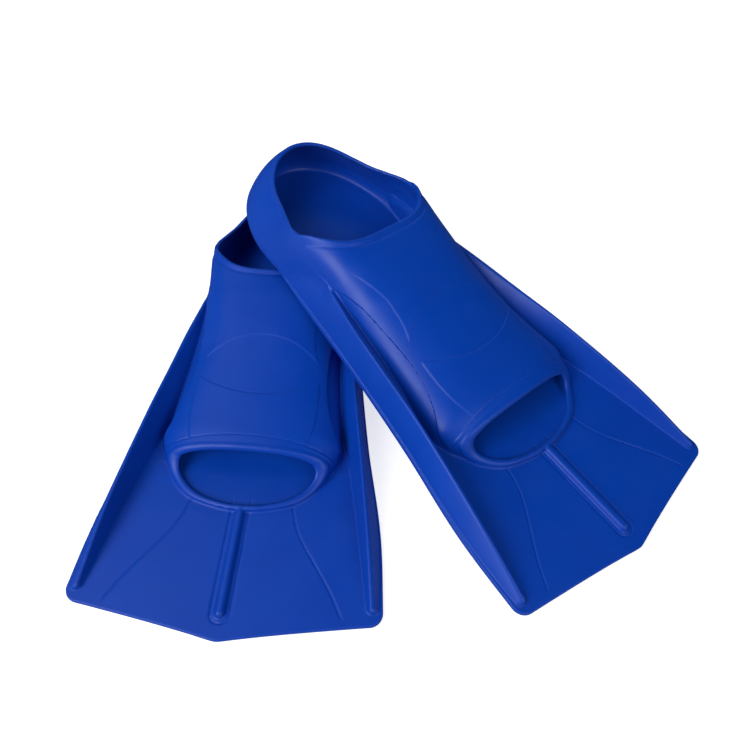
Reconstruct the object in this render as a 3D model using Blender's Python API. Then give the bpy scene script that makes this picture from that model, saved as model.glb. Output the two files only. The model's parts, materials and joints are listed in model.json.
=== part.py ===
"""A pair of short training swim fins in moulded silicone, one lying across the other.

Each fin is one flexible moulding. It is modelled here as the members that do separate jobs: a sole
plate, a foot pocket with a heel cup, the lip of the toe opening, two side rails, a blade web and a
centre rib. Rails, web and rib are divided at the two lines where the blade flexes.

Every fin is drawn in its own frame: +Y runs from the blade's tip to the heel, +X across, +Z up, and
the underside of the sole lies on z = 0 with the origin under the front of the foot.
"""

import math

import bmesh
import bpy
from mathutils import Matrix, Vector

MM = 0.001

# How the pair lies. The left fin is flat. The right fin's heel rests across it.
LEFT_FIN_PLACE = (-95.5 * MM, -50.3 * MM, 0.0)
RIGHT_FIN_OFFSET = (142.3 * MM, 34.9 * MM, 23.8 * MM)
RIGHT_FIN_YAW = math.radians(44.2)
RIGHT_FIN_PITCH = math.radians(10.12)
RIGHT_FIN_ROLL = math.radians(2.92)

# Along the fin.
BLADE_PEAK_Y = -126.5 * MM
BLADE_CORNER_Y = -110.5 * MM
RAIL_TIP_Y = -106.0 * MM
TIP_FLEX_Y = -88.0 * MM
ROOT_FLEX_Y = -54.0 * MM
TOE_LIP_FRONT_Y = -50.0 * MM
TOE_LIP_SIDE_Y = -26.5 * MM
TOE_LIP_TOP_Y = -20.5 * MM
INSTEP_EDGE_Y = 109.0 * MM
ANKLE_CORNER_Y = 131.0 * MM
HEEL_ROUND_Y = 150.0 * MM
RAIL_HEEL_Y = 130.0 * MM
HEEL_END_Y = 227.0 * MM
HEEL_RIM_Y = 213.0 * MM

# Across and up.
PLATE_THICKNESS = 4.2 * MM
TIP_THICKNESS = 3.0 * MM
WALL = 3.0 * MM
ANKLE_CORNER_X = 46.5 * MM
BLADE_CORNER_X = 86.0 * MM
BLADE_CORNER_RADIUS = 7.0 * MM
TOE_LIP_HALF_WIDTH = 45.5 * MM
TOE_LIP_RADIUS = 1.8 * MM
TOE_LIP_SIDE_Z = 9.0 * MM
TOE_LIP_TOP_Z = 22.8 * MM
RAIL_TOP_WIDTH = 1.8 * MM
RIB_WIDTH = 6.4 * MM
RIB_TOP_WIDTH = 3.6 * MM
RIB_HEIGHT = 3.0 * MM
RIB_END_Y = -115.0 * MM
GAP = 0.35 * MM

# The blade turns this far each way at each flex line. Rails are notched by half of it.
FLEX_ANGLE = math.radians(20.0)
FLEX_GAP = 0.6 * MM
FLEX_Z = 0.5 * PLATE_THICKNESS

# The heel cup folds back about its lower edge, and parts from the pocket along a 45 degree plane.
HEEL_HINGE_Y = HEEL_END_Y + 0.3 * MM
HEEL_HINGE_Z = PLATE_THICKNESS + 0.5 * GAP
HEEL_PARTING_ANGLE = math.radians(45.0)

# Shape stations: (y, value), smoothly joined.
RAIL_RIDGE_X = [(-115 * MM, 81.5 * MM), (-60 * MM, 74.2 * MM), (0, 65.1 * MM), (40 * MM, 59.6 * MM),
                (70 * MM, 55.4 * MM), (RAIL_HEEL_Y, 49.5 * MM)]
RAIL_RIDGE_Z = [(-113 * MM, 4.8 * MM), (-60 * MM, 16.8 * MM), (0, 23.4 * MM), (40 * MM, 24.2 * MM),
                (70 * MM, 24.7 * MM), (105 * MM, 24.0 * MM), (RAIL_HEEL_Y, 18.0 * MM)]
RAIL_OUTER_X = [(-115 * MM, 87.0 * MM), (-60 * MM, 82.0 * MM), (0, 71.6 * MM), (70 * MM, 62.0 * MM),
                (RAIL_HEEL_Y, 56.0 * MM)]
RAIL_INNER_X = [(-115 * MM, 77.5 * MM), (-60 * MM, 68.6 * MM), (-8 * MM, 57.4 * MM)]
POCKET_HALF_WIDTH = [(-26 * MM, 48.0 * MM), (-8 * MM, 57.0 * MM), (30 * MM, 53.4 * MM),
                     (70 * MM, 50.6 * MM), (105 * MM, 49.4 * MM), (125 * MM, 51.4 * MM),
                     (HEEL_ROUND_Y, 55.2 * MM)]
POCKET_HEIGHT = [(-26 * MM, 25.0 * MM), (30 * MM, 33.5 * MM), (70 * MM, 41.0 * MM),
                 (110 * MM, 48.2 * MM), (135 * MM, 55.0 * MM), (158 * MM, 58.5 * MM), (182 * MM, 52.0 * MM),
                 (205 * MM, 58.0 * MM), (HEEL_RIM_Y, 63.0 * MM)]
POCKET_SQUARENESS = [(-26 * MM, 2.4), (30 * MM, 2.5), (70 * MM, 2.9), (115 * MM, 4.8), (135 * MM, 4.0),
                     (146 * MM, 2.7), (160 * MM, 2.1), (HEEL_END_Y, 2.0)]
ANKLE_EDGE_Z = [(124 * MM, 44.2 * MM), (150 * MM, 37.5 * MM), (178 * MM, 34.5 * MM),
                (HEEL_RIM_Y, 43.5 * MM)]

BLUE = (0.004, 0.036, 0.36, 1.0)


# ---------------------------------------------------------------------------------------------
# Smooth profiles
# ---------------------------------------------------------------------------------------------

def along(stations, y):
    """The value at y of a smooth curve through (y, value) stations, held constant past its ends."""
    if y <= stations[0][0]:
        return stations[0][1]
    if y >= stations[-1][0]:
        return stations[-1][1]
    last = len(stations) - 1
    span = next(i for i in range(last) if y <= stations[i + 1][0])

    def slope(i):
        before = stations[max(i - 1, 0)]
        after = stations[min(i + 1, last)]
        return (after[1] - before[1]) / (after[0] - before[0])

    (y0, v0), (y1, v1) = stations[span], stations[span + 1]
    t = (y - y0) / (y1 - y0)
    curve = (2 * t**3 - 3 * t**2 + 1) * v0 + (3 * t**2 - 2 * t**3) * v1
    return curve + (y1 - y0) * ((t**3 - 2 * t**2 + t) * slope(span) + (t**3 - t**2) * slope(span + 1))


def evenly(first, last, count):
    return [first + (last - first) * i / (count - 1) for i in range(count)]


def heel_closing(y):
    """How far the heel has rounded off at y: 1 over the foot, 0 at the heel's end."""
    past = max(y - HEEL_ROUND_Y, 0.0) / (HEEL_END_Y - HEEL_ROUND_Y)
    return math.sqrt(max(1.0 - past**2.3, 0.0))


def pocket_half_width(y):
    """Half width of the foot pocket at its base, rounded off behind the ankle."""
    return along(POCKET_HALF_WIDTH, y) * heel_closing(y)


def pocket_wall_x(y, z):
    """Where the pocket's outer wall stands at height z."""
    power = along(POCKET_SQUARENESS, y)
    rise = min(z / along(POCKET_HEIGHT, y), 1.0)
    return pocket_half_width(y) * (1.0 - rise**power) ** (1.0 / power)


def plate_half_width(y):
    """Half width of the plate that runs under the foot and the rails."""
    if y > RAIL_OUTER_X[-1][0]:
        return pocket_half_width(y)
    return max(along(RAIL_OUTER_X, y), pocket_half_width(y) if y > 0 else 0.0)


def blade_end_y(x):
    """The blade's end: a shallow chevron with a rounded peak and slightly hollow edges."""
    rounding = 0.04
    share = math.hypot(x / BLADE_CORNER_X, rounding) - rounding
    return BLADE_PEAK_Y + (BLADE_CORNER_Y - BLADE_PEAK_Y) * share**0.89


def blade_thickness(y):
    """The blade thins from the root flex line to its end."""
    share = min(max((ROOT_FLEX_Y - y) / (ROOT_FLEX_Y - BLADE_PEAK_Y), 0.0), 1.0)
    return PLATE_THICKNESS + (TIP_THICKNESS - PLATE_THICKNESS) * share


# ---------------------------------------------------------------------------------------------
# Mesh tools
# ---------------------------------------------------------------------------------------------

def loft(rings):
    """A closed body through rings of equal length, with both ends capped."""
    bm = bmesh.new()
    rows = [[bm.verts.new(point) for point in ring] for ring in rings]
    count = len(rings[0])
    for here, there in zip(rows, rows[1:]):
        for i in range(count):
            j = (i + 1) % count
            bm.faces.new((here[i], here[j], there[j], there[i]))
    bm.faces.new(rows[0])
    bm.faces.new(rows[-1])
    return finished(bm)


def finished(bm):
    """Points that meet become one, and every face looks outward."""
    bmesh.ops.remove_doubles(bm, verts=bm.verts, dist=0.02 * MM)
    bmesh.ops.dissolve_degenerate(bm, edges=bm.edges, dist=0.01 * MM)
    bmesh.ops.recalc_face_normals(bm, faces=bm.faces)
    if bm.calc_volume(signed=True) < 0.0:
        bmesh.ops.reverse_faces(bm, faces=bm.faces)
    return bm


def heel_turn(end, steps=8):
    """Places from the heel's rounding to its end, closer together towards the end."""
    turns = [math.sin(0.5 * math.pi * i / steps) for i in range(1, steps + 1)]
    return [HEEL_ROUND_Y + (end - HEEL_ROUND_Y) * turn for turn in turns]


def plate(outline, top):
    """A plate standing on z = 0 with the given plan outline. top gives its thickness at each y."""
    bm = bmesh.new()
    lower = [bm.verts.new((x, y, 0.0)) for x, y in outline]
    upper = [bm.verts.new((x, y, top(y))) for x, y in outline]
    for i in range(len(outline)):
        j = (i + 1) % len(outline)
        bm.faces.new((lower[i], lower[j], upper[j], upper[i]))
    bm.faces.new(lower)
    bm.faces.new(upper)
    bmesh.ops.triangulate(bm, faces=bm.faces, ngon_method="EAR_CLIP")
    return finished(bm)


def mirrored(points):
    """The same run of plan points on the other side of the centre line, in reverse order."""
    return [(-x, y) for x, y in reversed(points)]


# ---------------------------------------------------------------------------------------------
# Sub-parts of one fin, in the fin's own frame
# ---------------------------------------------------------------------------------------------

def sole_plate():
    """The plate under the foot, out to the rails, from the root flex line to the heel."""
    straight = evenly(ROOT_FLEX_Y + FLEX_GAP, HEEL_ROUND_Y, 10)
    side = [(plate_half_width(y), y) for y in straight + heel_turn(HEEL_END_Y)]
    return plate(side[:-1] + [(0.0, HEEL_END_Y)] + mirrored(side[:-1]), lambda y: PLATE_THICKNESS)


def blade_root_web():
    """The blade between its two flex lines."""
    stations = evenly(TIP_FLEX_Y + FLEX_GAP, ROOT_FLEX_Y - FLEX_GAP, 3)
    side = [(plate_half_width(y), y) for y in stations]
    return plate(side + mirrored(side), blade_thickness)


def blade_corner_arc(steps=6):
    """The rounded corner between the blade's side and its end."""
    corner = Vector((BLADE_CORNER_X, BLADE_CORNER_Y))
    along_side = Vector((plate_half_width(TIP_FLEX_Y), TIP_FLEX_Y)) - corner
    along_end = Vector((0.5 * BLADE_CORNER_X, blade_end_y(0.5 * BLADE_CORNER_X))) - corner
    half_angle = 0.5 * along_side.angle(along_end)
    bisector = (along_side.normalized() + along_end.normalized()).normalized()
    centre = corner + bisector * BLADE_CORNER_RADIUS / math.sin(half_angle)
    turn = math.pi - 2.0 * half_angle
    middle = math.atan2(-bisector.y, -bisector.x)
    angles = evenly(middle - 0.5 * turn, middle + 0.5 * turn, steps)
    return [(centre.x + BLADE_CORNER_RADIUS * math.cos(a), centre.y + BLADE_CORNER_RADIUS * math.sin(a))
            for a in angles]


def blade_tip_web():
    """The end of the blade, past the second flex line."""
    corner = blade_corner_arc()
    edge_x = evenly(2 * MM, corner[0][0] - 8 * MM, 7)
    edge = [(x, blade_end_y(x)) for x in edge_x]
    side = edge + corner + [(plate_half_width(TIP_FLEX_Y - FLEX_GAP), TIP_FLEX_Y - FLEX_GAP)]
    return plate(side + mirrored(side), blade_thickness)


def rail_section(y, side, lean=0.0):
    """Five points around a rail at y. lean tips the section about the flex line's height."""
    base = blade_thickness(y) + GAP
    top = along(RAIL_RIDGE_Z, y)
    ridge = along(RAIL_RIDGE_X, y)
    inner_base = along(RAIL_INNER_X, y)
    inner_top = ridge - 0.5 * RAIL_TOP_WIDTH
    if y > RAIL_INNER_X[-1][0]:
        inner_base = pocket_half_width(y) + GAP
        inner_top = max(inner_top, pocket_wall_x(y, top) + GAP)
    outer_base = along(RAIL_OUTER_X, y) - 0.4 * MM
    outer_top = max(ridge + 0.5 * RAIL_TOP_WIDTH, inner_top + 0.8 * MM)
    shoulder = base + 0.35 * (top - base)
    points = [(inner_base, base), (inner_top, top), (outer_top, top),
              (outer_base + 0.2 * MM, shoulder), (outer_base, base)]
    return [(side * x, y + lean * (z - FLEX_Z), z) for x, z in points]


def rail(side, first, last, steps, first_lean=0.0, last_lean=0.0):
    """One stretch of a side rail, from y = first to y = last."""
    stations = evenly(first, last, steps)
    leans = [0.0] * steps
    leans[0] = first_lean
    leans[-1] = last_lean
    return loft([rail_section(y, side, lean) for y, lean in zip(stations, leans)])


def rib_section(y, half_width, half_top, height):
    base = blade_thickness(y) + GAP
    return [(-half_width, y, base), (-half_top, y, base + height), (half_top, y, base + height),
            (half_width, y, base)]


def rib(first, last, round_end):
    """The centre rib on the blade. A round end narrows and drops to nothing at y = last."""
    rings = [rib_section(y, 0.5 * RIB_WIDTH, 0.5 * RIB_TOP_WIDTH, RIB_HEIGHT) for y in evenly(first, last, 2)]
    if round_end:
        for share in (0.5, 0.8, 0.97):
            width = math.sqrt(1.0 - share**2)
            y = last - share * 0.5 * RIB_WIDTH
            rings.append(rib_section(y, 0.5 * RIB_WIDTH * width, 0.5 * RIB_TOP_WIDTH * width,
                                     RIB_HEIGHT * width))
    return loft(rings)


def toe_lip_centre(angle):
    """The middle line of the toe opening's lip. Angle 0 is its right side and 90 degrees its front."""
    across = math.cos(angle)
    lower_z = PLATE_THICKNESS + GAP + TOE_LIP_RADIUS
    if math.sin(angle) >= 0.0:
        forward = math.sin(angle)
        y = TOE_LIP_SIDE_Y + (TOE_LIP_FRONT_Y - TOE_LIP_SIDE_Y) * forward
        z = TOE_LIP_SIDE_Z + (lower_z - TOE_LIP_SIDE_Z) * min(1.6 * forward, 1.0)
        return Vector((TOE_LIP_HALF_WIDTH * across, y, z))
    upward = -math.sin(angle)
    y = TOE_LIP_SIDE_Y + (TOE_LIP_TOP_Y - TOE_LIP_SIDE_Y) * upward
    z = TOE_LIP_SIDE_Z + (TOE_LIP_TOP_Z - TOE_LIP_SIDE_Z) * upward**0.85
    return Vector((TOE_LIP_HALF_WIDTH * across, y, z))


def toe_lip(segments=32, sides=6):
    """The rolled lip around the toe opening, as a closed ring."""
    bm = bmesh.new()
    rings = []
    for i in range(segments):
        centre = toe_lip_centre(2.0 * math.pi * i / segments)
        ahead = toe_lip_centre(2.0 * math.pi * (i + 0.5) / segments)
        behind = toe_lip_centre(2.0 * math.pi * (i - 0.5) / segments)
        tangent = (ahead - behind).normalized()
        out = tangent.cross(Vector((0.0, -1.0, 0.35))).normalized()
        up = out.cross(tangent).normalized()
        ring = []
        for j in range(sides):
            turn = 2.0 * math.pi * j / sides
            ring.append(bm.verts.new(centre + TOE_LIP_RADIUS * (math.cos(turn) * out + math.sin(turn) * up)))
        rings.append(ring)
    for i in range(segments):
        here, there = rings[i], rings[(i + 1) % segments]
        for j in range(sides):
            k = (j + 1) % sides
            bm.faces.new((here[j], here[k], there[k], there[j]))
    return finished(bm)


def pocket_stations(end):
    """Section places along the pocket: even over the foot, closing up round the heel."""
    front = TOE_LIP_SIDE_Y + TOE_LIP_RADIUS + GAP
    return evenly(front, HEEL_ROUND_Y, 11) + heel_turn(end)


def pocket_section(y, inset, points=19):
    """An arch from the right base over the top to the left base. inset is 0 outside, WALL inside."""
    past = max(y - HEEL_ROUND_Y, 0.0) / (HEEL_END_Y - inset - HEEL_ROUND_Y)
    outside_y = min(y, HEEL_ROUND_Y) + past * (HEEL_END_Y - HEEL_ROUND_Y)
    closing = heel_closing(outside_y)
    power = along(POCKET_SQUARENESS, outside_y)
    base = PLATE_THICKNESS + GAP
    half_width = (along(POCKET_HALF_WIDTH, outside_y) - inset) * closing
    rise = (along(POCKET_HEIGHT, outside_y) - inset - base) * closing
    arch = []
    for i in range(points):
        turn = math.pi * i / (points - 1)
        across = math.copysign(abs(math.cos(turn)) ** (2.0 / power), math.cos(turn))
        arch.append((half_width * across, base + rise * math.sin(turn) ** (2.0 / power)))
    return arch


def pocket_shell():
    """The whole shell over the foot, from the toe opening round the heel, still without its ankle opening."""
    bm = bmesh.new()
    grids = []
    base = PLATE_THICKNESS + GAP
    front_lean = (TOE_LIP_TOP_Y - TOE_LIP_SIDE_Y) / (TOE_LIP_TOP_Z - TOE_LIP_SIDE_Z)
    for inset in (0.0, WALL):
        grid = []
        lean = front_lean
        for y in pocket_stations(HEEL_END_Y - inset):
            row = [bm.verts.new((x, y + lean * (z - base), z)) for x, z in pocket_section(y, inset)]
            grid.append(row)
            lean = 0.0
        grids.append(grid)
    outer, inner = grids
    last = len(outer[0]) - 1
    for i in range(len(outer) - 1):
        for grid in grids:
            for j in range(last):
                bm.faces.new((grid[i][j], grid[i][j + 1], grid[i + 1][j + 1], grid[i + 1][j]))
        for j in (0, last):
            bm.faces.new((outer[i][j], outer[i + 1][j], inner[i + 1][j], inner[i][j]))
    for j in range(last):
        bm.faces.new((outer[0][j], outer[0][j + 1], inner[0][j + 1], inner[0][j]))
    return finished(bm)


def instep_edge_y(x):
    """Where the ankle opening starts on the instep: furthest forward on the centre line."""
    return INSTEP_EDGE_Y + (ANKLE_CORNER_Y - INSTEP_EDGE_Y) * (x / ANKLE_CORNER_X)**4


def ankle_cutter():
    """What is removed to open the pocket at the ankle: everything above the opening's edge."""
    reach = 62 * MM
    back = HEEL_END_Y + 12 * MM
    top = 90 * MM
    rings = []
    for x in evenly(-reach, reach, 15):
        front = instep_edge_y(x)
        edge = [(x, y, along(ANKLE_EDGE_Z, y)) for y in evenly(front, back, 9)]
        rings.append(edge + [(x, back, top), (x, front, top)])
    return loft(rings)


def heel_block(clearance):
    """A block whose lower face is the plane where the heel cup parts from the pocket."""
    size = 200 * MM
    bm = bmesh.new()
    bmesh.ops.create_cube(bm, size=size)
    lift = Matrix.Translation((0.0, 0.0, 0.5 * size + clearance))
    tilt = Matrix.Rotation(-HEEL_PARTING_ANGLE, 4, "X")
    place = Matrix.Translation((0.0, HEEL_HINGE_Y, HEEL_HINGE_Z))
    bmesh.ops.transform(bm, matrix=place @ tilt @ lift, verts=bm.verts)
    return bm


# ---------------------------------------------------------------------------------------------
# Objects
# ---------------------------------------------------------------------------------------------

def silicone(name, roughness):
    """Royal blue moulded silicone with a satin surface."""
    material = bpy.data.materials.new(name)
    material.use_nodes = True
    shader = material.node_tree.nodes["Principled BSDF"]
    shader.inputs["Base Color"].default_value = BLUE
    shader.inputs["Roughness"].default_value = roughness
    shader.inputs["Metallic"].default_value = 0.0
    return material


def empty(name, parent, location):
    anchor = bpy.data.objects.new(name, None)
    anchor.empty_display_size = 10 * MM
    anchor.location = location
    anchor.parent = parent
    bpy.context.scene.collection.objects.link(anchor)
    return anchor


def solid(name, bm, anchor, origin, roughness=0.45):
    """Makes an object from a mesh drawn in the fin's frame, with its origin on its anchor."""
    bmesh.ops.translate(bm, verts=bm.verts, vec=-Vector(origin))
    mesh = bpy.data.meshes.new(name)
    bm.to_mesh(mesh)
    bm.free()
    mesh.shade_smooth()
    mesh.set_sharp_from_angle(angle=math.radians(35.0))
    mesh.materials.append(silicone(name, roughness))
    piece = bpy.data.objects.new(name, mesh)
    piece.parent = anchor
    bpy.context.scene.collection.objects.link(piece)
    return piece


def cut(piece, cutter, operation):
    modifier = piece.modifiers.new(cutter.name, "BOOLEAN")
    modifier.operation = operation
    modifier.solver = "EXACT"
    modifier.object = cutter


def cutter(name, bm, anchor):
    guide = solid(name, bm, anchor, (0.0, 0.0, 0.0))
    guide.hide_render = True
    guide.display_type = "WIRE"
    return guide


def build_fin(side_name, location, rotation):
    """One complete fin, hung from an empty at its own origin."""
    fin = empty(side_name + "_fin", None, location)
    fin.rotation_mode = "YXZ"
    fin.rotation_euler = rotation
    here = (0.0, 0.0, 0.0)
    root_flex = (0.0, ROOT_FLEX_Y, FLEX_Z)
    tip_flex = (0.0, TIP_FLEX_Y, FLEX_Z)
    heel_hinge = (0.0, HEEL_HINGE_Y, HEEL_HINGE_Z)
    blade_root = empty(side_name + "_blade_flex", fin, root_flex)
    blade_tip = empty(side_name + "_tip_flex", blade_root, Vector(tip_flex) - Vector(root_flex))
    heel = empty(side_name + "_heel_pull", fin, heel_hinge)

    def name(sub_part):
        return side_name + "_" + sub_part

    ankle = cutter(name("ankle_cutter"), ankle_cutter(), fin)
    heel_away = cutter(name("heel_away"), heel_block(0.0), fin)
    heel_keep = cutter(name("heel_keep"), heel_block(GAP), fin)

    solid(name("sole_plate"), sole_plate(), fin, here, 0.5)
    solid(name("toe_lip"), toe_lip(), fin, here, 0.4)
    pocket = solid(name("foot_pocket"), pocket_shell(), fin, here, 0.42)
    cut(pocket, ankle, "DIFFERENCE")
    cut(pocket, heel_away, "DIFFERENCE")
    cup = solid(name("heel_cup"), pocket_shell(), heel, heel_hinge, 0.42)
    cut(cup, ankle, "DIFFERENCE")
    cut(cup, heel_keep, "INTERSECT")

    solid(name("blade_root_web"), blade_root_web(), blade_root, root_flex, 0.5)
    solid(name("blade_tip_web"), blade_tip_web(), blade_tip, tip_flex, 0.5)
    solid(name("rib_root"), rib(ROOT_FLEX_Y - 1.2 * MM, TIP_FLEX_Y + 1.2 * MM, False), blade_root, root_flex)
    rib_end = RIB_END_Y + 0.5 * RIB_WIDTH
    solid(name("rib_tip"), rib(TIP_FLEX_Y - 1.2 * MM, rib_end, True), blade_tip, tip_flex)

    notch = math.tan(0.5 * FLEX_ANGLE)
    outer = -1 if side_name == "left" else 1
    for edge, side in (("outer", outer), ("inner", -outer)):
        solid(name(edge + "_rail_rear"),
              rail(side, ROOT_FLEX_Y + FLEX_GAP, RAIL_HEEL_Y, 11, notch, 0.0), fin, here)
        solid(name(edge + "_rail_middle"),
              rail(side, TIP_FLEX_Y + FLEX_GAP, ROOT_FLEX_Y - FLEX_GAP, 3, notch, -notch), blade_root, root_flex)
        solid(name(edge + "_rail_tip"),
              rail(side, RAIL_TIP_Y, TIP_FLEX_Y - FLEX_GAP, 3, 0.0, -notch), blade_tip, tip_flex)


for old in list(bpy.data.objects):
    bpy.data.objects.remove(old)

build_fin("left", LEFT_FIN_PLACE, (0.0, 0.0, 0.0))
build_fin("right", Vector(LEFT_FIN_PLACE) + Vector(RIGHT_FIN_OFFSET),
          (RIGHT_FIN_PITCH, RIGHT_FIN_ROLL, RIGHT_FIN_YAW))
bpy.context.view_layer.update()
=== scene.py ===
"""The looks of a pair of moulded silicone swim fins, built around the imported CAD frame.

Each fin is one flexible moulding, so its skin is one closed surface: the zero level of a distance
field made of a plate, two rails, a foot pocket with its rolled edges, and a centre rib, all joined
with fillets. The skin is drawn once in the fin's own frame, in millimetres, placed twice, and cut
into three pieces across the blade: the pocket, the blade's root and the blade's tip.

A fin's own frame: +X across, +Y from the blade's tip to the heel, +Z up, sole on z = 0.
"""

import json
import math

import bpy
import numpy as np
from mathutils import Matrix, Vector


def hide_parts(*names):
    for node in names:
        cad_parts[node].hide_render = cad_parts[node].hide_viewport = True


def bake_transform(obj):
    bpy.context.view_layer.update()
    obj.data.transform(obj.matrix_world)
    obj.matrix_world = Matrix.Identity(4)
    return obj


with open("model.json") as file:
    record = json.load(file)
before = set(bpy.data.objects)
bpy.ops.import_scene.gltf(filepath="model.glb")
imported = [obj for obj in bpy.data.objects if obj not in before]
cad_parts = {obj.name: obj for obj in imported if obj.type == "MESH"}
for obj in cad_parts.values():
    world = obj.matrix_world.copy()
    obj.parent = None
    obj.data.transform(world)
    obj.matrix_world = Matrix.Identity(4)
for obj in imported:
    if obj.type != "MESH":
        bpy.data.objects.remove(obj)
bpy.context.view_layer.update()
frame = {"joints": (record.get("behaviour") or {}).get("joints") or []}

MM = 0.001

# The mesh: the grid's step in mm, how many steps a coarse cell has, how many diagonals of a coarse cell
# count as near the surface, and the gentlest slope that a vertex is moved by.
MESH_STEP = 0.8
COARSE_CELLS = 3
NEAR_SURFACE = 1.2
GENTLEST_SLOPE = 0.05
PROBE = 0.02
CURVE_SAMPLES = 2000

# Places along the fin, in its own frame. ROOT_FLEX_Y and FLEX_Z say where a blade's first flex joint lies
# in that frame, which places the frame on the record's joints.
BLADE_PEAK_Y = -126.1
BLADE_CORNER_Y = -110.5
RAIL_TIP_Y = -106.0
LIP_FRONT_Y = -50.0
LIP_SIDE_Y = -26.5
TOE_SHOULDER_Y = -8.0
INSTEP_EDGE_Y = 108.5
ANKLE_CORNER_Y = 131.0
RAIL_HEEL_Y = 148.0
HEEL_ROUND_Y = 150.0
HEEL_END_Y = 227.0
ROOT_FLEX_Y = -54.0
FLEX_Z = 2.1

# The sole and the blade.
PLATE_THICKNESS = 4.2
TIP_THICKNESS = 3.0
PLATE_EDGE_RADIUS = 0.7
PLATE_PROUD = 0.9
BLADE_CORNER_X = 86.0
BLADE_CORNER_RADIUS = 7.0
BLADE_PEAK_ROUNDING = 0.04
BLADE_END_HOLLOW = 0.86
BLADE_TO_SOLE_FILLET = 4.0
END_RADIUS = 1.0

# The fine grooves in the blade.
HAIRLINE_DEPTH = 0.4
HAIRLINE_WIDTH = 0.55
HAIRLINE_START = (-43.0, -46.0)
HAIRLINE_END = (-111.0, -108.0)
RIB_OUTLINE_OFFSET = 2.3

# The rails, and the groove between each rail and the pocket.
RIDGE_HALF_WIDTH = 0.9
OUTER_WALL_BEND = 1.7
RAIL_TIP_RADIUS = 2.5
GROOVE_START_Y = -20.0
LEAF_DEPTH = 1.5
LEAF_EDGE_SOFTNESS = 0.8
LEAF_START = (-24.0, 2.0)
LEAF_END = (108.0, 98.0)

# The pocket over the foot.
WALL = 3.0
HEEL_ROUNDNESS = 2.3
HEEL_LEAN_Z = 36.0
HEEL_LEAN_BEND = 1.5
TOE_BLEND = 6.0
INNER_FILLET = 14.0
INNER_FILLET_DEPTH = (-1.2, -3.2)
INNER_FILLET_START = (-20.0, 10.0)
INNER_FILLET_TOP = (28.0, 16.0)
ANKLE_CORNER_X = 46.5
ANKLE_CORNER_RADIUS = 5.0
RIM_GROOVE_DEPTH = 0.42
RIM_GROOVE_FROM_EDGE = 3.2
RIM_GROOVE_WIDTH = 1.0
RIM_GROOVE_END = (150.0, 118.0)
RIM_THINNING = (6.0, 30.0)
LIP_RADIUS = 1.4
LIP_TOP_RADIUS = 1.9
LIP_CORNER_RADIUS = 2.5
LIP_TOP_FROM_Z = (8.0, 18.0)
LIP_CORNER_FROM_X = (12.0, 36.0)
LIP_CORNER_BELOW_Z = (20.0, 10.0)
LIP_SIDE_Z = 9.0
LIP_TOP = (-20.5, 22.8)
LIP_FRONT = (LIP_FRONT_Y, 6.0)

# The raised panel on the instep, the oval sunk into it, and the band round the toe opening.
STEP_SOFTNESS = 0.7
PANEL_HEIGHT = 0.35
PANEL_END = (99.0, 88.0)
OVAL_TOP_Y = 57.8
OVAL_TOP_BEND = 0.0103
OVAL_TOP_SHARPNESS = 1.0e-6
OVAL_BOTTOM_Y = 15.2
OVAL_BOTTOM_BEND = 0.0092
OVAL_INSET = 3.0
TOE_BAND_Y = -13.7
TOE_BAND_BEND = 0.0017
TOE_BAND_HEIGHT = 0.45
TOE_CREASE_FROM_BAND = 0.6
TOE_CREASE_END = (46.0, 40.0)
CREASE_DEPTH = 0.22
CREASE_WIDTH = 0.55
PANEL_FOOT = (8.0, 16.0)

# The centre rib.
RIB_WIDTH = 6.4
RIB_TOP_WIDTH = 3.6
RIB_HEIGHT = 3.0
RIB_END_Y = -115.0
RIB_EDGE_RADIUS = 1.2

# What stands on the plate starts inside it, this far above the underside, with its foot's edges rounded.
INSIDE_PLATE_Z = 1.0
FOOT_RADIUS = 0.5

# The box that holds half a fin. Its low side lies half a step off, so the first vertices lie on x = 0.
SKIN_BOX_LOW = (-0.5 * MESH_STEP, -130.0, -2.0)
SKIN_BOX_HIGH = (90.0, 231.0, 53.0)

# Fillets where the members meet.
RAIL_FILLET = 0.7
POCKET_FILLET = 2.0
GROOVE_FILLET = 3.0
RIB_FILLET = 0.8
ROLLED_EDGE_FILLET = 0.8

# ---------------------------------------------------------------------------------------------
# Smooth profiles and fields. A field is negative inside a shape and close to a distance in mm.
# ---------------------------------------------------------------------------------------------

def curve(stations):
    """A smooth curve through (place, value) stations, held constant past its ends."""
    places, values = np.array(stations, float).T
    slopes = np.empty(len(places))
    slopes[1:-1] = (values[2:] - values[:-2]) / (places[2:] - places[:-2])
    slopes[0] = (values[1] - values[0]) / (places[1] - places[0])
    slopes[-1] = (values[-1] - values[-2]) / (places[-1] - places[-2])
    at = np.linspace(places[0], places[-1], CURVE_SAMPLES)
    span = np.clip(np.searchsorted(places, at, side="right") - 1, 0, len(places) - 2)
    width = places[span + 1] - places[span]
    t = (at - places[span]) / width
    ends = (2 * t**3 - 3 * t**2 + 1) * values[span] + (3 * t**2 - 2 * t**3) * values[span + 1]
    table = ends + width * ((t**3 - 2 * t**2 + t) * slopes[span] + (t**3 - t**2) * slopes[span + 1])
    return lambda place: np.interp(place, at, table)


def smoothstep(low, high, value):
    t = np.clip((value - low) / (high - low), 0.0, 1.0)
    return t * t * (3.0 - 2.0 * t)


def moulded_step(past_edge):
    """1 before an edge and 0 past it, with a slope between them as steep as a moulded step."""
    return smoothstep(STEP_SOFTNESS, -STEP_SOFTNESS, past_edge)


def bump_across(distance, width):
    """1 on a line, and falling to nothing within about twice the width of it."""
    return np.exp(-(distance / width)**2)


def joined(a, b, fillet):
    """Both shapes together, with a fillet where they meet."""
    overlap = np.maximum(fillet - np.abs(a - b), 0.0) / fillet
    return np.minimum(a, b) - 0.25 * fillet * overlap**2


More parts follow.
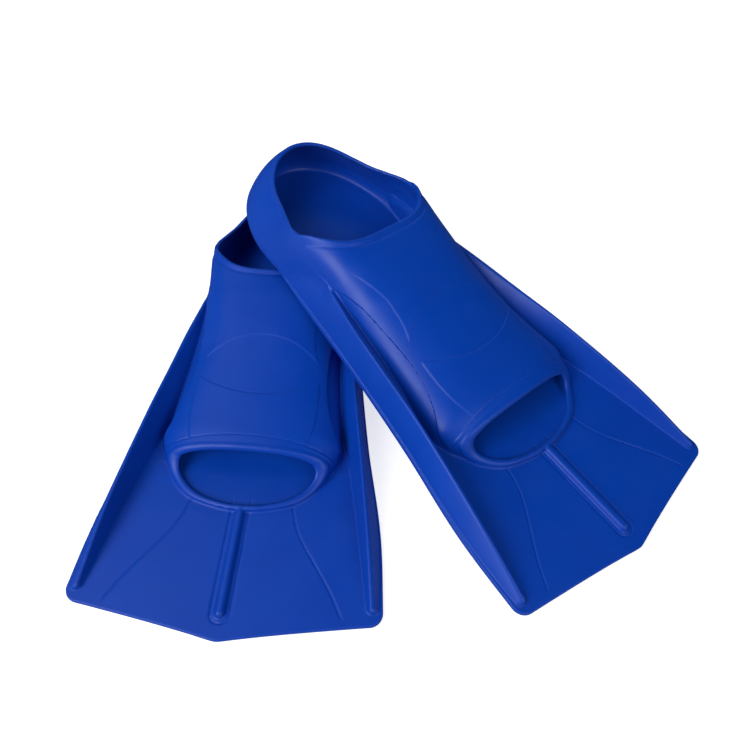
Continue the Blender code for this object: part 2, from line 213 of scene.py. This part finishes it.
def common(a, b, radius):
    """What two shapes share, with its edges rounded to a radius."""
    rounded = np.hypot(np.maximum(a + radius, 0.0), np.maximum(b + radius, 0.0))
    return np.minimum(np.maximum(a, b), -radius) + rounded


def measured(field, *place):
    """A field scaled to be a distance near its zero level."""
    here = field(*place)
    steepness = 0.0
    for axis in range(len(place)):
        ahead = list(place)
        ahead[axis] = ahead[axis] + PROBE
        steepness = steepness + (field(*ahead) - here)**2
    return here / np.maximum(np.sqrt(steepness) / PROBE, 1e-4)


def gradient(field, vertices):
    """How fast a field changes along each axis at each vertex."""
    probes = PROBE * np.eye(3)
    return np.stack([field(*(vertices + probe).T) - field(*(vertices - probe).T) for probe in probes],
                    axis=1) / (2.0 * PROBE)


# Shape stations: (place, value), smoothly joined.
rail_ridge_x = curve([(-115, 81.5), (-60, 74.2), (0, 65.1), (40, 59.4), (70, 55.2), (90, 51.3), (105, 48.0)])
rail_ridge_z = curve([(-113, 4.8), (-60, 16.9), (0, 23.6), (40, 24.3), (70, 24.8), (105, 25.5),
                      (125, 22.0), (148, 10.0)])
rail_outer_x = curve([(-115, 87.0), (-60, 82.6), (0, 71.8), (70, 62.0), (130, 56.0), (148, 54.0)])
rail_inner_x = curve([(-115, 77.5), (-60, 68.6), (-8, 57.6), (30, 44.0), (70, 32.0), (105, 28.0)])
groove_floor_z = curve([(-12, 2.5), (20, 5.0), (60, 13.0), (85, 19.0), (98, 24.0), (106, 27.0)])
leaf_edge_z = curve([(-24, 2.0), (-12, 10.5), (0, 17.0), (14, 21.2), (30, 24.2), (60, 27.6), (80, 30.0),
                     (95, 29.0), (107, 22.5)])
pocket_half_width = curve([(-26, 59.0), (-8, 57.0), (30, 53.4), (70, 50.6), (105, 49.4), (125, 51.4),
                           (150, 55.4), (170, 56.5)])
toe_radius = curve([(-20, 60.0), (0, 56.6), (20, 51.4), (47, 48.2), (68, 45.0), (90, 43.5)])
pocket_height = curve([(-26, 25.0), (30, 33.5), (70, 41.0), (110, 48.2), (130, 53.0), (140, 60.0),
                       (150, 72.0), (160, 75.0)])
pocket_squareness = curve([(-26, 2.4), (30, 2.5), (70, 2.9), (115, 4.6), (135, 4.2), (150, 2.9), (165, 2.6),
                           (180, 2.6)])
heel_lean = curve([(130, 0.0), (146, 0.06), (158, 0.18), (170, 0.3), (182, 0.33), (193, 0.3),
                   (203, 0.25), (213, 0.2), (220, 0.177), (227, 0.17)])
ankle_edge_z = curve([(120, 43.6), (133, 40.4), (151, 37.6), (172, 34.7), (187, 34.9), (200, 37.9),
                      (213, 42.5)])
panel_side_x = curve([(-15, 35.5), (1, 38.6), (24, 38.7), (42, 36.2), (52, 33.5), (62, 32.4), (72, 32.3),
                      (84, 35.2), (99, 40.2)])
hairline_x = curve([(-110, 64.6), (-95, 56.5), (-80, 46.5), (-68, 38.5), (-58, 33.5), (-46, 30.2)])
under_radius = curve([(100, 1.2), (125, 3.0), (150, 9.0)])
wall_at_rim = curve([(118, 3.0), (150, 2.1)])
rim_radius = curve([(118, 1.9), (150, 1.2)])


# ---------------------------------------------------------------------------------------------
# The members of one fin, as fields. They are symmetric, so x is taken as positive.
# ---------------------------------------------------------------------------------------------

def plan_share(x, y):
    """1 on the pocket's outline seen from above, and less inside it."""
    past = np.maximum(y - HEEL_ROUND_Y, 0.0) / (HEEL_END_Y - HEEL_ROUND_Y)
    foot = np.sqrt((x / pocket_half_width(y))**2 + past**HEEL_ROUNDNESS)
    ahead = TOE_SHOULDER_Y - y
    turn = np.degrees(np.arctan2(ahead, np.maximum(x, 1e-6)))
    toe = np.hypot(x, ahead) / toe_radius(turn)
    to_toe = smoothstep(-TOE_BLEND, TOE_BLEND, ahead)
    return foot + (toe - foot) * to_toe


def blade_thickness(y):
    share = np.clip((ROOT_FLEX_Y - y) / (ROOT_FLEX_Y - BLADE_PEAK_Y), 0.0, 1.0)
    return PLATE_THICKNESS + (TIP_THICKNESS - PLATE_THICKNESS) * share


def blade_end(x, y):
    """Past the blade's end: a shallow chevron with a rounded peak and slightly hollow edges."""
    rounded = np.hypot(x / BLADE_CORNER_X, BLADE_PEAK_ROUNDING) - BLADE_PEAK_ROUNDING
    share = np.maximum(rounded, 0.0)**BLADE_END_HOLLOW
    return BLADE_PEAK_Y + (BLADE_CORNER_Y - BLADE_PEAK_Y) * share - y


def hairlines(x, y):
    """Depth of the fine grooves in the blade: one sweeping to each corner and one around the rib."""
    slope = (hairline_x(y + 1.0) - hairline_x(y - 1.0)) / 2.0
    sweep = (x - hairline_x(y)) / np.hypot(1.0, slope)
    past_end = np.maximum(RIB_END_Y + 0.5 * RIB_WIDTH - y, 0.0)
    around = np.hypot(x, past_end) - 0.5 * RIB_WIDTH - RIB_OUTLINE_OFFSET
    ahead_of_lip = smoothstep(*HAIRLINE_START, y)
    sweep_depth = smoothstep(*HAIRLINE_END, y) * bump_across(sweep, HAIRLINE_WIDTH)
    return HAIRLINE_DEPTH * ahead_of_lip * (sweep_depth + bump_across(around, HAIRLINE_WIDTH))


def plate(x, y, z):
    """The sole and the blade."""
    side = measured(lambda x, y: x - rail_outer_x(y), x, y)
    end = measured(blade_end, x, y)
    blade = common(common(side, end, BLADE_CORNER_RADIUS), y - RAIL_HEEL_Y, END_RADIUS)
    sole = measured(lambda x, y: plan_share(x, y) - 1.0, x, y)
    outline = joined(blade, sole, BLADE_TO_SOLE_FILLET)
    slab = common(outline, z - blade_thickness(y) + hairlines(x, y), PLATE_EDGE_RADIUS)
    return common(slab, -z, under_radius(y))


def rail(outside, x, y, z):
    """A side rail: a steep outer wall, a sloping inner wall and a narrow round ridge."""
    top = rail_ridge_z(y)
    ridge = rail_ridge_x(y)
    rise = np.clip(z / top, 0.0, 1.1)
    outer_spread = rail_outer_x(y) - PLATE_PROUD - ridge - RIDGE_HALF_WIDTH
    outer = x - ridge - RIDGE_HALF_WIDTH - outer_spread * (1.0 - rise**OUTER_WALL_BEND)
    outer = outer / np.hypot(1.0, outer_spread * OUTER_WALL_BEND * rise**(OUTER_WALL_BEND - 1.0) / top)
    inner_spread = ridge - RIDGE_HALF_WIDTH - rail_inner_x(y)
    inner = ridge - RIDGE_HALF_WIDTH - inner_spread * (1.0 - rise) - x
    inner = inner / np.hypot(1.0, inner_spread / top)
    section = common(common(outer, inner, RIDGE_HALF_WIDTH), z - top, RIDGE_HALF_WIDTH)
    section = np.maximum(section, -0.5 * WALL - outside)
    section = common(section, RAIL_TIP_Y - y, RAIL_TIP_RADIUS)
    return common(common(section, y - RAIL_HEEL_Y, END_RADIUS), INSIDE_PLATE_Z - z, FOOT_RADIUS)


def groove_floor(outside, x, y, z):
    """What fills the foot of the groove between the pocket and a rail, lower towards the toes."""
    top = z - groove_floor_z(y)
    sides = np.maximum(x - rail_ridge_x(y), -0.5 * WALL - outside)
    ends = np.maximum(GROOVE_START_Y - y, y - HEEL_ROUND_Y)
    return np.maximum(np.maximum(top, INSIDE_PLATE_Z - z), np.maximum(sides, ends))


def panels(x, y, z):
    """How far the instep's raised panel, with an oval sunk into it, and the toe band stand out."""
    past_side = x - panel_side_x(y)
    past_top = y - OVAL_TOP_Y + x**2 * (OVAL_TOP_BEND + OVAL_TOP_SHARPNESS * x**2)
    past_bottom = OVAL_BOTTOM_Y + OVAL_BOTTOM_BEND * x**2 - y
    past_band = y - TOE_BAND_Y + TOE_BAND_BEND * x**2
    panel = moulded_step(past_side) * smoothstep(*PANEL_END, y)
    oval = moulded_step(past_top) * moulded_step(past_bottom)
    band = moulded_step(past_band)
    raised = PANEL_HEIGHT * panel * (1.0 - oval) * (1.0 - band) + TOE_BAND_HEIGHT * band
    band_crease = bump_across(past_band - TOE_CREASE_FROM_BAND, CREASE_WIDTH)
    oval_crease = bump_across(past_bottom, CREASE_WIDTH)
    creases = (band_crease * smoothstep(*TOE_CREASE_END, x)
               + oval_crease * smoothstep(1.0, -1.0, past_side + OVAL_INSET))
    return (raised - CREASE_DEPTH * creases) * smoothstep(*PANEL_FOOT, z)


def pocket_level(x, y, z):
    """0 on the pocket's outside. Round the heel the wall leans in as it rises."""
    power = pocket_squareness(y)
    rise = np.maximum(z - PLATE_THICKNESS, 0.0) / (pocket_height(y) - PLATE_THICKNESS)
    lean = heel_lean(y) * (np.maximum(z, 0.0) / HEEL_LEAN_Z)**HEEL_LEAN_BEND
    share = plan_share(x, y) * (1.0 + lean)
    return (share**power + rise**power)**(1.0 / power) - 1.0


def pocket_outside(x, y, z):
    """The pocket's outside as a distance, with the leaf-shaped hollow beside each rail."""
    outside = common(measured(pocket_level, x, y, z), -z, under_radius(y))
    leaf = smoothstep(LEAF_EDGE_SOFTNESS, -LEAF_EDGE_SOFTNESS, z - leaf_edge_z(y))
    leaf = leaf * smoothstep(*LEAF_START, y) * smoothstep(*LEAF_END, y)
    return outside + LEAF_DEPTH * leaf - panels(x, y, z)


def ankle_opening(x, y, z):
    """The space above the ankle opening's edge."""
    edge_y = INSTEP_EDGE_Y + (ANKLE_CORNER_Y - INSTEP_EDGE_Y) * (x / ANKLE_CORNER_X)**4
    return common(edge_y - y, ankle_edge_z(y) - z, ANKLE_CORNER_RADIUS)


def turned_to_lip(y, z):
    """How far a place lies up and out from the lip's side, in directions turned by 45 degrees."""
    up = ((z - LIP_SIDE_Z) + (y - LIP_SIDE_Y)) / math.sqrt(2.0)
    out = ((z - LIP_SIDE_Z) - (y - LIP_SIDE_Y)) / math.sqrt(2.0)
    return up, out


def toe_opening(x, y, z):
    """In front of the toe opening's edge: a curved cut, steep over the toes and flat on the blade."""
    up, out = turned_to_lip(y, z)
    bend, tilt = TOE_CUT
    return out - up * (bend * up + tilt)


def toe_cut():
    """Bend and tilt of the cut that passes through the lip's side, its top and its front."""
    places = [turned_to_lip(y, z) for y, z in (LIP_TOP, LIP_FRONT)]
    return np.linalg.solve([(up * up, up) for up, _ in places], [out for _, out in places])


TOE_CUT = toe_cut()


def lip_radius(x, z):
    """The toe opening's edge is thin where it meets the blade and thick at its lower corners."""
    top = (LIP_TOP_RADIUS - LIP_RADIUS) * smoothstep(*LIP_TOP_FROM_Z, z)
    corner = (LIP_CORNER_RADIUS - LIP_RADIUS) * smoothstep(*LIP_CORNER_FROM_X, x)
    return LIP_RADIUS + np.maximum(top, corner * smoothstep(*LIP_CORNER_BELOW_Z, z))


def pocket(outside, x, y, z):
    """The shell over the foot, open at the ankle and the toes, with a rolled edge round each opening."""
    ankle = measured(ankle_opening, x, y, z)
    toe = measured(toe_opening, x, y, z)
    groove = RIM_GROOVE_DEPTH * bump_across(ankle - RIM_GROOVE_FROM_EDGE, RIM_GROOVE_WIDTH)
    outside = outside + groove * smoothstep(*RIM_GROOVE_END, y)
    wall = wall_at_rim(y) + (WALL - wall_at_rim(y)) * smoothstep(*RIM_THINNING, ankle)
    shell = np.abs(outside + 0.5 * wall) - 0.5 * wall
    shell = np.maximum(np.maximum(shell, -ankle), np.maximum(toe, INSIDE_PLATE_Z - z))
    rim = np.hypot(outside + 0.5 * wall, ankle) - rim_radius(y)
    lip = np.hypot(outside + 0.5 * WALL, toe) - lip_radius(x, z)
    return joined(joined(shell, rim, ROLLED_EDGE_FILLET), lip, ROLLED_EDGE_FILLET)


def rib(x, y, z):
    """The centre rib on the blade, with a round end."""
    base = blade_thickness(y)
    narrowing = 0.5 * (RIB_WIDTH - RIB_TOP_WIDTH) * (z - base) / RIB_HEIGHT
    past_end = np.maximum(RIB_END_Y + 0.5 * RIB_WIDTH - y, 0.0)
    side = np.hypot(x, past_end) - 0.5 * RIB_WIDTH + narrowing
    section = common(side, z - base - RIB_HEIGHT, RIB_EDGE_RADIUS)
    return common(common(section, y - LIP_FRONT_Y, FOOT_RADIUS), INSIDE_PLATE_Z - z, FOOT_RADIUS)


def fin(x, y, z):
    """The whole moulding."""
    x = np.abs(x)
    outside = pocket_outside(x, y, z)
    body = joined(plate(x, y, z), rail(outside, x, y, z), RAIL_FILLET)
    inside = smoothstep(*INNER_FILLET_DEPTH, outside) * smoothstep(*INNER_FILLET_START, y)
    inside = inside * smoothstep(*INNER_FILLET_TOP, z)
    body = joined(body, pocket(outside, x, y, z), POCKET_FILLET + INNER_FILLET * inside)
    body = joined(body, groove_floor(outside, x, y, z), GROOVE_FILLET)
    return joined(body, rib(x, y, z), RIB_FILLET)


# ---------------------------------------------------------------------------------------------
# From a field to a mesh
# ---------------------------------------------------------------------------------------------

def sampled(field, low, high, step):
    """The field on a grid, worked out finely only near the surface."""
    coarse = step * COARSE_CELLS
    cells = np.ceil((high - low) / coarse).astype(int)
    x, y, z = (low[i] + coarse * np.arange(cells[i] + 1) for i in range(3))
    rough = field(x[:, None, None], y[None, :, None], z[None, None, :])
    blocks = np.abs(rough) < NEAR_SURFACE * math.sqrt(3.0) * coarse
    near = np.zeros(cells, bool)
    for shift in np.ndindex(2, 2, 2):
        near |= blocks[tuple(slice(s, s + n) for s, n in zip(shift, cells))]
    corner = rough[:-1, :-1, :-1]
    values = np.where(corner < 0.0, -coarse, coarse)
    for axis in range(3):
        near = np.repeat(near, COARSE_CELLS, axis)
        values = np.repeat(values, COARSE_CELLS, axis)
    places = np.argwhere(near)
    points = low + step * places
    values[near] = field(*points.T)
    return values


def surface_net(values, low, step):
    """A vertex in each cell that the surface passes, and a quad around each edge that it crosses."""
    inside = values < 0.0
    cells = np.array(inside.shape) - 1
    count = np.zeros(cells, np.int8)
    for shift in np.ndindex(2, 2, 2):
        count += inside[tuple(slice(s, s + n) for s, n in zip(shift, cells))]
    passed = (count > 0) & (count < 8)
    number = np.full(passed.shape, -1, np.int64)
    number[passed] = np.arange(passed.sum())
    vertices = low + step * (np.argwhere(passed) + 0.5)
    quads = []
    for axis in range(3):
        first = np.take(inside, np.arange(inside.shape[axis] - 1), axis)
        second = np.take(inside, np.arange(1, inside.shape[axis]), axis)
        crossed = np.argwhere(first != second)
        crossed = crossed[(np.delete(crossed, axis, axis=1) > 0).all(axis=1)]
        leaving = first[tuple(crossed.T)]
        u, v = np.roll(np.eye(3, dtype=int), -axis - 1, axis=0)[:2]
        ring = [crossed, crossed - u, crossed - u - v, crossed - v]
        quad = np.stack([number[tuple(cell.T)] for cell in ring], axis=1)
        quad[~leaving] = quad[~leaving, ::-1]
        quads.append(quad)
    return vertices, np.concatenate(quads)


def settle(field, vertices, rounds):
    """Moves points straight onto the surface."""
    for _ in range(rounds):
        slope = gradient(field, vertices)
        steep = np.maximum((slope**2).sum(axis=1, keepdims=True), GENTLEST_SLOPE)
        move = -field(*vertices.T)[:, None] * slope / steep
        vertices = vertices + np.clip(move, -0.5 * MESH_STEP, 0.5 * MESH_STEP)
    return vertices


def evened(vertices, quads):
    """Each vertex moved halfway to the middle of its neighbours, and none across the centre plane."""
    total = np.zeros_like(vertices)
    met = np.zeros(len(vertices))
    for a, b in ((0, 1), (1, 2), (2, 3), (3, 0)):
        for here, there in ((a, b), (b, a)):
            np.add.at(total, quads[:, here], vertices[quads[:, there]])
            np.add.at(met, quads[:, here], 1.0)
    moved = 0.5 * (vertices + total / met[:, None])
    moved[:, 0] = np.where(vertices[:, 0] == 0.0, 0.0, moved[:, 0])
    return moved


def mirrored(vertices, quads, normals):
    """The half skin and its mirror image, sharing the vertices on the centre plane."""
    off_centre = vertices[:, 0] != 0.0
    twin = np.arange(len(vertices))
    twin[off_centre] = len(vertices) + np.arange(off_centre.sum())
    flip = np.array((-1.0, 1.0, 1.0))
    return (np.concatenate([vertices, vertices[off_centre] * flip]),
            np.concatenate([quads, twin[quads][:, ::-1]]),
            np.concatenate([normals, normals[off_centre] * flip]))


def fin_skin():
    """The moulding's vertices, quads and normals, in the fin's own frame. It is made from one half."""
    low = np.array(SKIN_BOX_LOW)
    values = sampled(fin, low, np.array(SKIN_BOX_HIGH), MESH_STEP)
    vertices, quads = surface_net(values, low, MESH_STEP)
    vertices[:, 0] = np.where(vertices[:, 0] < 0.1 * MESH_STEP, 0.0, vertices[:, 0])
    vertices = settle(fin, vertices, 2)
    vertices = settle(fin, evened(vertices, quads), 2)
    normals = gradient(fin, vertices)
    normals /= np.linalg.norm(normals, axis=1, keepdims=True)
    return mirrored(vertices, quads, normals)


# ---------------------------------------------------------------------------------------------
# Placing the two fins on the frame
# ---------------------------------------------------------------------------------------------

def joint(name):
    """A joint of the record, by its name."""
    return next(j for j in frame["joints"] if j["name"] == name)


def fin_frame(side):
    """The fin's own frame in the row frame, from the record's joints: millimetres in, metres out."""
    root = joint(side + "_blade_flex")
    tip = joint(side + "_tip_flex")
    root_at = Vector(root["pos_m"])
    across = -Vector(root["axis"]).normalized()
    back = (root_at - Vector(tip["pos_m"])).normalized()
    up = across.cross(back).normalized()
    back = up.cross(across)
    origin = root_at - back * ROOT_FLEX_Y * MM - up * FLEX_Z * MM
    columns = Matrix((across, back, up)).transposed().to_4x4()
    return Matrix.Translation(origin) @ columns @ Matrix.Scale(MM, 4)


def piece(name, vertices, quads, normals, place, material):
    """A mesh object in the row frame from part of the skin."""
    used, renumbered = np.unique(quads, return_inverse=True)
    matrix = np.array(place)
    points = vertices[used] @ matrix[:3, :3].T + matrix[:3, 3]
    directions = normals[used] @ matrix[:3, :3].T / MM
    faces = renumbered.reshape(-1, 4)
    mesh = bpy.data.meshes.new(name)
    mesh.vertices.add(len(points))
    mesh.vertices.foreach_set("co", points.astype(np.float32).ravel())
    mesh.loops.add(faces.size)
    mesh.loops.foreach_set("vertex_index", faces.astype(np.int32).ravel())
    mesh.polygons.add(len(faces))
    mesh.polygons.foreach_set("loop_start", np.arange(0, faces.size, 4, dtype=np.int32))
    mesh.update(calc_edges=True)
    mesh.validate()
    mesh.shade_smooth()
    mesh.normals_split_custom_set_from_vertices(directions.astype(np.float32))
    mesh.materials.append(material)
    obj = bpy.data.objects.new(name, mesh)
    bpy.context.scene.collection.objects.link(obj)
    return obj


# ---------------------------------------------------------------------------------------------
# Materials
# ---------------------------------------------------------------------------------------------

# The darkest and the lightest blue that the colour drifts between.
POCKET_COLOURS = ((0.0, 0.036, 0.33), (0.0, 0.048, 0.385))
BLADE_COLOURS = ((0.0, 0.034, 0.32), (0.0, 0.046, 0.375))


def noise(tree, coordinates, scale, detail):
    """Smooth noise, about 0.3 to 0.7."""
    node = tree.nodes.new("ShaderNodeTexNoise")
    node.inputs["Scale"].default_value = scale
    node.inputs["Detail"].default_value = detail
    tree.links.new(coordinates, node.inputs["Vector"])
    return node.outputs["Fac"]


def spread(tree, value, low, high):
    """A noise value spread between two ends."""
    node = tree.nodes.new("ShaderNodeMapRange")
    node.inputs["From Min"].default_value = 0.3
    node.inputs["From Max"].default_value = 0.7
    node.inputs["To Min"].default_value = low
    node.inputs["To Max"].default_value = high
    tree.links.new(value, node.inputs["Value"])
    return node.outputs["Result"]


def bumped(tree, height, distance, under=None):
    """A normal roughened by a height, on top of another bump if there is one."""
    node = tree.nodes.new("ShaderNodeBump")
    node.inputs["Distance"].default_value = distance
    tree.links.new(height, node.inputs["Height"])
    if under is not None:
        tree.links.new(under, node.inputs["Normal"])
    return node.outputs["Normal"]


def silicone(name, colours, roughness):
    """Moulded silicone: slightly clouded colour, handling smudges, broad waves and a fine grain."""
    material = bpy.data.materials.new(name)
    material.use_nodes = True
    tree = material.node_tree
    shader = tree.nodes["Principled BSDF"]
    place = tree.nodes.new("ShaderNodeTexCoord").outputs["Object"]
    clouds = tree.nodes.new("ShaderNodeValToRGB")
    for stop, colour in zip(clouds.color_ramp.elements, colours):
        stop.color = (*colour, 1.0)
    tree.links.new(noise(tree, place, scale=28.0, detail=4.0), clouds.inputs["Fac"])
    tree.links.new(clouds.outputs["Color"], shader.inputs["Base Color"])
    smudges = spread(tree, noise(tree, place, scale=60.0, detail=5.0), roughness - 0.05, roughness + 0.06)
    tree.links.new(smudges, shader.inputs["Roughness"])
    waves = bumped(tree, noise(tree, place, scale=45.0, detail=2.0), 0.25 * MM)
    grain = bumped(tree, noise(tree, place, scale=2600.0, detail=2.0), 0.006 * MM, under=waves)
    tree.links.new(grain, shader.inputs["Normal"])
    shader.inputs["Specular IOR Level"].default_value = 0.25
    shader.inputs["Sheen Weight"].default_value = 0.04
    shader.inputs["Sheen Roughness"].default_value = 0.5
    shader.inputs["Sheen Tint"].default_value = (0.25, 0.4, 1.0, 1.0)
    return material


# ---------------------------------------------------------------------------------------------
# Stage
# ---------------------------------------------------------------------------------------------

# Each softbox: compass direction and height in degrees, power in watts, and whether it shows as a shine.
SOFTBOXES = {
    "front_left": (225.0, 35.0, 22.5, True),
    "front_right": (315.0, 35.0, 10.0, True),
    "back": (90.0, 35.0, 7.0, False),
    "back_left": (135.0, 35.0, 2.5, False),
    "left_high": (180.0, 60.0, 5.0, True),
}
SOFTBOX_SIZE = 1.0
LIGHT_DISTANCE = 1.6
FLOOR_HALF_SIZE = 3.0

CAMERA_PLACE = (-0.0186, -0.2885, 0.359)
CAMERA_PITCH = math.radians(50.795)
CAMERA_HEADING = math.radians(4.961)
CAMERA_LENS = 32.33
CAMERA_SHIFT = (0.0452, 0.0060)


def floor():
    """White paper. It lights the fins from below, and leaves no shine on them."""
    mesh = bpy.data.meshes.new("floor")
    size = FLOOR_HALF_SIZE
    corners = [(-size, -size, 0), (size, -size, 0), (size, size, 0), (-size, size, 0)]
    mesh.from_pydata(corners, [], [(0, 1, 2, 3)])
    obj = bpy.data.objects.new("floor", mesh)
    material = bpy.data.materials.new("white_paper")
    material.use_nodes = True
    shader = material.node_tree.nodes["Principled BSDF"]
    shader.inputs["Base Color"].default_value = (0.6, 0.6, 0.59, 1.0)
    shader.inputs["Roughness"].default_value = 0.9
    shader.inputs["Specular IOR Level"].default_value = 0.0
    shader.inputs["Emission Color"].default_value = (1.0, 1.0, 0.985, 1.0)
    shader.inputs["Emission Strength"].default_value = 0.72
    mesh.materials.append(material)
    obj.visible_glossy = False
    bpy.context.scene.collection.objects.link(obj)


def softbox(name, place, power, shining):
    """A square lamp that faces the middle of the pair."""
    light = bpy.data.lights.new(name, "AREA")
    light.shape = "RECTANGLE"
    light.size = light.size_y = SOFTBOX_SIZE
    light.energy = power
    obj = bpy.data.objects.new(name, light)
    obj.location = place
    obj.rotation_euler = (-place).to_track_quat("-Z", "Y").to_euler()
    obj.visible_glossy = shining
    bpy.context.scene.collection.objects.link(obj)


def lights():
    for name, (azimuth, elevation, power, shining) in SOFTBOXES.items():
        around, up = math.radians(azimuth), math.radians(elevation)
        towards = Vector((math.cos(around) * math.cos(up), math.sin(around) * math.cos(up), math.sin(up)))
        softbox(name, LIGHT_DISTANCE * towards, power, shining)
    bpy.context.scene.view_settings.view_transform = "Standard"


def camera():
    data = bpy.data.cameras.new("camera")
    data.sensor_width = 36.0
    data.lens = CAMERA_LENS
    data.shift_x, data.shift_y = CAMERA_SHIFT
    data.clip_start = 0.01
    obj = bpy.data.objects.new("camera", data)
    obj.location = CAMERA_PLACE
    obj.rotation_euler = (0.5 * math.pi - CAMERA_PITCH, 0.0, CAMERA_HEADING)
    bpy.context.scene.collection.objects.link(obj)
    bpy.context.scene.camera = obj


# ---------------------------------------------------------------------------------------------
# Build
# ---------------------------------------------------------------------------------------------

PIECES = {
    "pocket": ("heel_cup", "foot_pocket", "toe_lip", "sole_plate", "outer_rail_rear", "inner_rail_rear"),
    "blade_root": ("blade_root_web", "rib_root", "outer_rail_middle", "inner_rail_middle"),
    "blade_tip": ("blade_tip_web", "rib_tip", "outer_rail_tip", "inner_rail_tip"),
}

# Where the skin is cut into pieces, in the fin's own frame.
ROOT_SPLIT_Y = -38.0
TIP_SPLIT_Y = -71.0


def build_fin(side, skin):
    """Places the skin as one fin: cut into pieces, each hiding the parts of the frame that it stands for."""
    vertices, quads, normals = skin
    place = fin_frame(side)
    middle = vertices[quads].mean(axis=1)[:, 1]
    parts = {
        "pocket": middle > ROOT_SPLIT_Y,
        "blade_root": (middle <= ROOT_SPLIT_Y) & (middle > TIP_SPLIT_Y),
        "blade_tip": middle <= TIP_SPLIT_Y,
    }
    for name, chosen in parts.items():
        material = pocket_blue if name == "pocket" else blade_blue
        obj = piece(side + "_" + name, vertices, quads[chosen], normals, place, material)
        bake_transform(obj)
        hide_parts(*(side + "_" + node for node in PIECES[name]))


skin = fin_skin()
pocket_blue = silicone("pocket_silicone", POCKET_COLOURS, roughness=0.4)
blade_blue = silicone("blade_silicone", BLADE_COLOURS, roughness=0.43)
for side in ("left", "right"):
    build_fin(side, skin)
floor()
lights()
camera()
